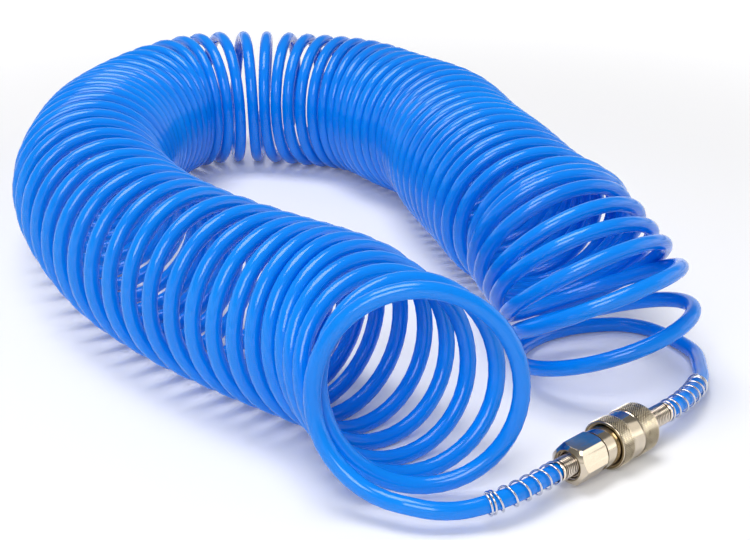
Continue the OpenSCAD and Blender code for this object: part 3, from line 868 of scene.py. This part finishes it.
ferrule = {
    "length": 16.5 * mm,
    "crest": 5.1 * mm,
    "root": 4.75 * mm,
    "bore": 4.3 * mm,
    "mouth": (0.3 * mm, 0.4 * mm),     # how far the bore opens, and over what length
    "rim": 1.6 * mm,           # the plain ring at the outer end
    "rimSlope": 0.3 * mm,
    "edge": 0.35 * mm,
    "roundings": (0.1 * mm, 0.12 * mm),
    "pitch": 1.25 * mm,
    "turns": 10,
    "fadeTurns": 0.5,          # over which the ridge rises and falls at its ends
    "ringsPerTurn": 48,
    "afterRim": 0.6 * mm,
    "sunk": 0.05 * mm,         # of the ridge in the core
    "segments": 96,
    "sharp": 35,
}


def threadTree(spec):
    tree, given = newGeometryTree(
        "cutThread", ["Start", "Turns", "Pitch", "Root", "Height", "Axis"])
    turns, root = given["Turns"], given["Root"]
    length = addNode(tree, "ShaderNodeMath", {0: turns, 1: given["Pitch"]}, operation="MULTIPLY")
    spiral = addNode(tree, "GeometryNodeCurveSpiral", {
        "Resolution": spec["ringsPerTurn"], "Rotations": turns, "Start Radius": root,
        "End Radius": root, "Height": length})
    upright = addNode(tree, "GeometryNodeSetCurveNormal", {"Curve": spiral}, mode="Z_UP")
    # the ridge fades in and out
    measure = addNode(tree, "GeometryNodeSplineParameter")
    factor = measure.outputs["Factor"]
    back = addNode(tree, "ShaderNodeMath", {0: 1.0, 1: factor}, operation="SUBTRACT")
    nearer = addNode(tree, "ShaderNodeMath", {0: factor, 1: back}, operation="MINIMUM")
    fade = addNode(tree, "ShaderNodeMath", {
        0: nearer, 1: spec["turns"] / spec["fadeTurns"]}, operation="MULTIPLY", use_clamp=True)
    ridge = addNode(tree, "GeometryNodeCurvePrimitiveCircle", {
        "Resolution": 4, "Radius": given["Height"]})
    cut = addNode(tree, "GeometryNodeCurveToMesh", {
        "Curve": upright, "Profile Curve": ridge, "Scale": fade, "Fill Caps": True})
    place = addNode(tree, "ShaderNodeCombineXYZ", {"X": given["Start"], "Z": given["Axis"]})
    laid = addNode(tree, "GeometryNodeTransform", {
        "Geometry": cut, "Translation": place, "Rotation": (0, math.pi / 2, 0)})
    endTree(tree, laid, given["Material"])
    return tree


def makeFerrule(name, outX, inward, tree):
    # inward is 1 where the ferrule runs towards +X from its outer end, and -1 where it runs back
    spec = ferrule
    bore, crest, root = spec["bore"], spec["crest"], spec["root"]
    rim, edge, (mouth, mouthLength) = spec["rim"], spec["edge"], spec["mouth"]
    inX = outX + inward * spec["length"]
    fine, soft = spec["roundings"]
    core = lathe(name, [
        (bore, outX + inward * mouthLength, fine), (bore + mouth, outX, fine),
        (crest - edge, outX, fine), (crest, outX + inward * edge, soft),
        (crest, outX + inward * (rim - spec["rimSlope"]), soft),
        (root, outX + inward * rim, fine), (root, inX, 0), (bore, inX, 0)],
        threadMaterial, spec["segments"], spec["sharp"])
    length = spec["turns"] * spec["pitch"]
    nearEnd = outX + inward * (rim + spec["afterRim"])
    ridge = newObject(name + "Thread", [(0, 0, 0)])
    growFrom(ridge, tree, {
        "Start": nearEnd if inward > 0 else nearEnd - length, "Turns": float(spec["turns"]),
        "Pitch": spec["pitch"], "Root": root - spec["sunk"],
        "Height": crest - root + spec["sunk"], "Axis": axisHeight, "Material": threadMaterial})
    return joinObjects(name, [core, ridge])


cutTree = threadTree(ferrule)
socketFerrule = makeFerrule("socketFerrule", socketFerruleX, 1, cutTree)
plugFerrule = makeFerrule("plugFerrule", plugFerruleX, -1, cutTree)
finish(socketFerrule, "socket", "socket_ferrule")
finish(plugFerrule, "hose_and_plug", "plug_ferrule")
print("ferrules: threaded")


socketBody = {
    "acrossFlats": 18 * mm,
    "x": (-35 * mm, -17 * mm),
    "turn": 36.5,              # of a corner, in degrees below the far side
    "frontCrown": (3.0 * mm, 2.4 * mm),    # how far the crowning comes in, and along
    "backCrown": (1.15 * mm, 1.9 * mm),
    "frontSteps": (0.2, 0.4, 0.6, 0.8, 1),
    "backSteps": (1, 0.66, 0.33, 0),
    "countersink": 1.7 * mm,
    "relief": (8.6 * mm, 0.5 * mm),        # radius and width of the groove before the neck
    "neck": 9.3 * mm,
    "neckEnd": -6 * mm,
    "ferruleBore": 5.15 * mm,
    "passage": 2.6 * mm,
    "noseBore": 7.05 * mm,
    "steps": (-27 * mm, -15 * mm),         # where the bore narrows and widens again
    "edge": 0.18 * mm,
    "edgeSegments": 2,
    "segments": 120,
    "sharp": 20,
}


def makeSocketBody(spec):
    left, right = spec["x"]
    halfFlats = spec["acrossFlats"] / 2
    corner = halfFlats / math.cos(math.radians(30))
    segments = spec["segments"]

    def crown(inset, length):
        # radius at the end face, and the ball that crowns the corners down to it
        face = corner - inset
        deep = (corner**2 - face**2 + length**2) / (2 * length)
        return face, deep, math.hypot(face, deep)

    frontFace, frontDeep, frontBall = crown(*spec["frontCrown"])
    backFace, backDeep, backBall = crown(*spec["backCrown"])
    bore, passage, nose = spec["ferruleBore"], spec["passage"], spec["noseBore"]
    narrow, widen = spec["steps"]
    end, neck, sink = spec["neckEnd"], spec["neck"], spec["countersink"]
    relief, reliefWidth = spec["relief"]
    inner = [
        (relief, right), (relief, right + reliefWidth), (neck, right + reliefWidth), (neck, end),
        (nose, end), (nose, widen), (passage, widen), (passage, narrow), (bore, narrow)]

    def section(angle):
        # the outline of a lengthwise cut at this angle, as (radius, x); a flat spans 60 degrees
        side = halfFlats / math.cos(math.radians((angle - spec["turn"]) % 60 - 30))
        rows = [(bore, left + sink), (bore + sink, left), (frontFace, left)]
        for t in spec["frontSteps"]:
            r = frontFace + (side - frontFace) * t
            rows.append((r, left + frontDeep - math.sqrt(frontBall**2 - r**2)))
        for t in spec["backSteps"]:
            # where the ball doesn't reach the side, the rows only keep the count
            r = min(side, backFace) + max(side - backFace, 0) * t
            crowned = right - backDeep + math.sqrt(backBall**2 - r**2)
            rows.append((r, crowned if side > backFace else right - t * mm))
        return rows + inner

    sections = [section(360 * i / segments) for i in range(segments)]
    rings = len(sections[0])
    points = []
    for j in range(rings):
        for i in range(segments):
            a = 2 * math.pi * i / segments
            r, x = sections[i][j]
            points.append((x, r * math.sin(a), axisHeight - r * math.cos(a)))
    body = newObject("socketBody", points, faces=latheFaces(rings, segments),
                     material=nickelMaterial)
    tidyNormals(body, spec["sharp"])
    bevel = body.modifiers.new("edges", "BEVEL")
    bevel.width, bevel.segments = spec["edge"], spec["edgeSegments"]
    bevel.limit_method, bevel.angle_limit = "ANGLE", math.radians(spec["sharp"])
    bevel.harden_normals = True
    keepResult(body, bevel)
    shadeEndFaces(body)
    return body


socketPiece = makeSocketBody(socketBody)
finish(socketPiece, "socket", "socket_body")
print("socket body:", len(socketPiece.data.polygons), "faces")


# a pale floor, white surroundings and soft lamps
studio = {
    "middle": (0.05, 0.25, 0),     # of the object, where the lamps aim
    "floor": "#f3f3f5",
    "floorRoughness": 0.9,
    "floorReach": 4,
    "floorGlow": (0.08, 0.95),     # by the object and far from it, so that the floor reads white
    "glowFrom": (0.35, 1.6),       # the distances of the two from the middle
    "strip": 0.15,             # the dark gap where floor and surroundings meet
    "stripTo": (0.03, 0.06),   # the heights, on a ball of 1, between which it ends
    "horizon": 1.0,            # the surroundings are white near the floor and a dim grey overhead
    "overhead": 0.2,
    "horizonTo": (0.16, 0.42),
}
lamps = {
    "overheadLamp": {"place": (-0.15, 0.45, 1.8), "size": 1.0, "power": 21, "colour": "#ffffff"},
    "sideLamp": {"place": (1.35, -0.75, 0.6), "size": 1.2, "power": 4, "colour": "#fffbf6"},
    "frontLamp": {"place": (-1.2, -0.7, 1.25), "size": 0.75, "power": 12.5, "colour": "#ffffff"},
}


def makeFloor(spec):
    material, tree, shader = newMaterial("paperFloor")
    shader.inputs["Base Color"].default_value = linear(spec["floor"])
    shader.inputs["Roughness"].default_value = spec["floorRoughness"]
    rays = addNode(tree, "ShaderNodeLightPath")
    seen = addNode(tree, "ShaderNodeMath", {
        0: rays.outputs["Is Camera Ray"], 1: rays.outputs["Is Glossy Ray"]}, operation="MAXIMUM")
    shown = addNode(tree, "ShaderNodeMath", {
        0: seen, 1: rays.outputs["Is Transmission Ray"]}, operation="MAXIMUM")
    spot = addNode(tree, "ShaderNodeTexCoord")
    away = addNode(tree, "ShaderNodeVectorMath", {
        0: spot.outputs["Object"], 1: spec["middle"]}, operation="DISTANCE")
    low, high = spec["glowFrom"]
    near, far = spec["floorGlow"]
    level = addNode(tree, "ShaderNodeMapRange", {
        "Value": away.outputs["Value"], "From Min": low, "From Max": high,
        "To Min": near, "To Max": far}, interpolation_type="SMOOTHSTEP")
    glow = addNode(tree, "ShaderNodeMath", {0: shown, 1: level}, operation="MULTIPLY")
    light = addNode(tree, "ShaderNodeEmission", {"Color": (1, 1, 1, 1), "Strength": glow})
    both = addNode(tree, "ShaderNodeAddShader", {0: shader.outputs[0], 1: light})
    tree.links.new(both.outputs[0], tree.nodes["Material Output"].inputs["Surface"])
    reach = spec["floorReach"]
    corners = [(-reach, -reach, 0), (reach, -reach, 0), (reach, reach, 0), (-reach, reach, 0)]
    floor = newObject("floor", corners, faces=[(0, 1, 2, 3)], material=material)


def makeWorld(spec):
    world = bpy.data.worlds.new("studio")
    bpy.context.scene.world = world
    world.use_nodes = True
    tree = world.node_tree
    spot = addNode(tree, "ShaderNodeTexCoord")
    parts = addNode(tree, "ShaderNodeSeparateXYZ", {"Vector": spot.outputs["Generated"]})
    low, high = spec["horizonTo"]
    strength = addNode(tree, "ShaderNodeMapRange", {
        "Value": parts.outputs["Z"], "From Min": low, "From Max": high,
        "To Min": spec["horizon"], "To Max": spec["overhead"]}, interpolation_type="SMOOTHSTEP")
    low, high = spec["stripTo"]
    strip = addNode(tree, "ShaderNodeMapRange", {
        "Value": parts.outputs["Z"], "From Min": low, "From Max": high,
        "To Min": spec["strip"], "To Max": 1.0})
    shaded = addNode(tree, "ShaderNodeMath", {0: strength, 1: strip}, operation="MULTIPLY")
    # the camera sees them white all over
    rays = addNode(tree, "ShaderNodeLightPath")
    seen = addNode(tree, "ShaderNodeMath", {
        0: shaded, 1: rays.outputs["Is Camera Ray"]}, operation="MAXIMUM")
    background = tree.nodes["Background"]
    background.inputs["Color"].default_value = (1, 1, 1, 1)
    tree.links.new(seen.outputs[0], background.inputs["Strength"])


def makeLamp(name, spec, aim):
    data = bpy.data.lights.new(name, "AREA")
    data.size, data.energy = spec["size"], spec["power"]
    data.color = linear(spec["colour"])[:3]
    lamp = bpy.data.objects.new(name, data)
    bpy.context.scene.collection.objects.link(lamp)
    lamp.location = spec["place"]
    lamp.rotation_euler = (Vector(aim) - lamp.location).to_track_quat("-Z", "Y").to_euler()


makeFloor(studio)
makeWorld(studio)
for lampName, lampSpec in lamps.items():
    makeLamp(lampName, lampSpec, studio["middle"])
bpy.context.scene.view_settings.view_transform = "Standard"
print("studio: ready")
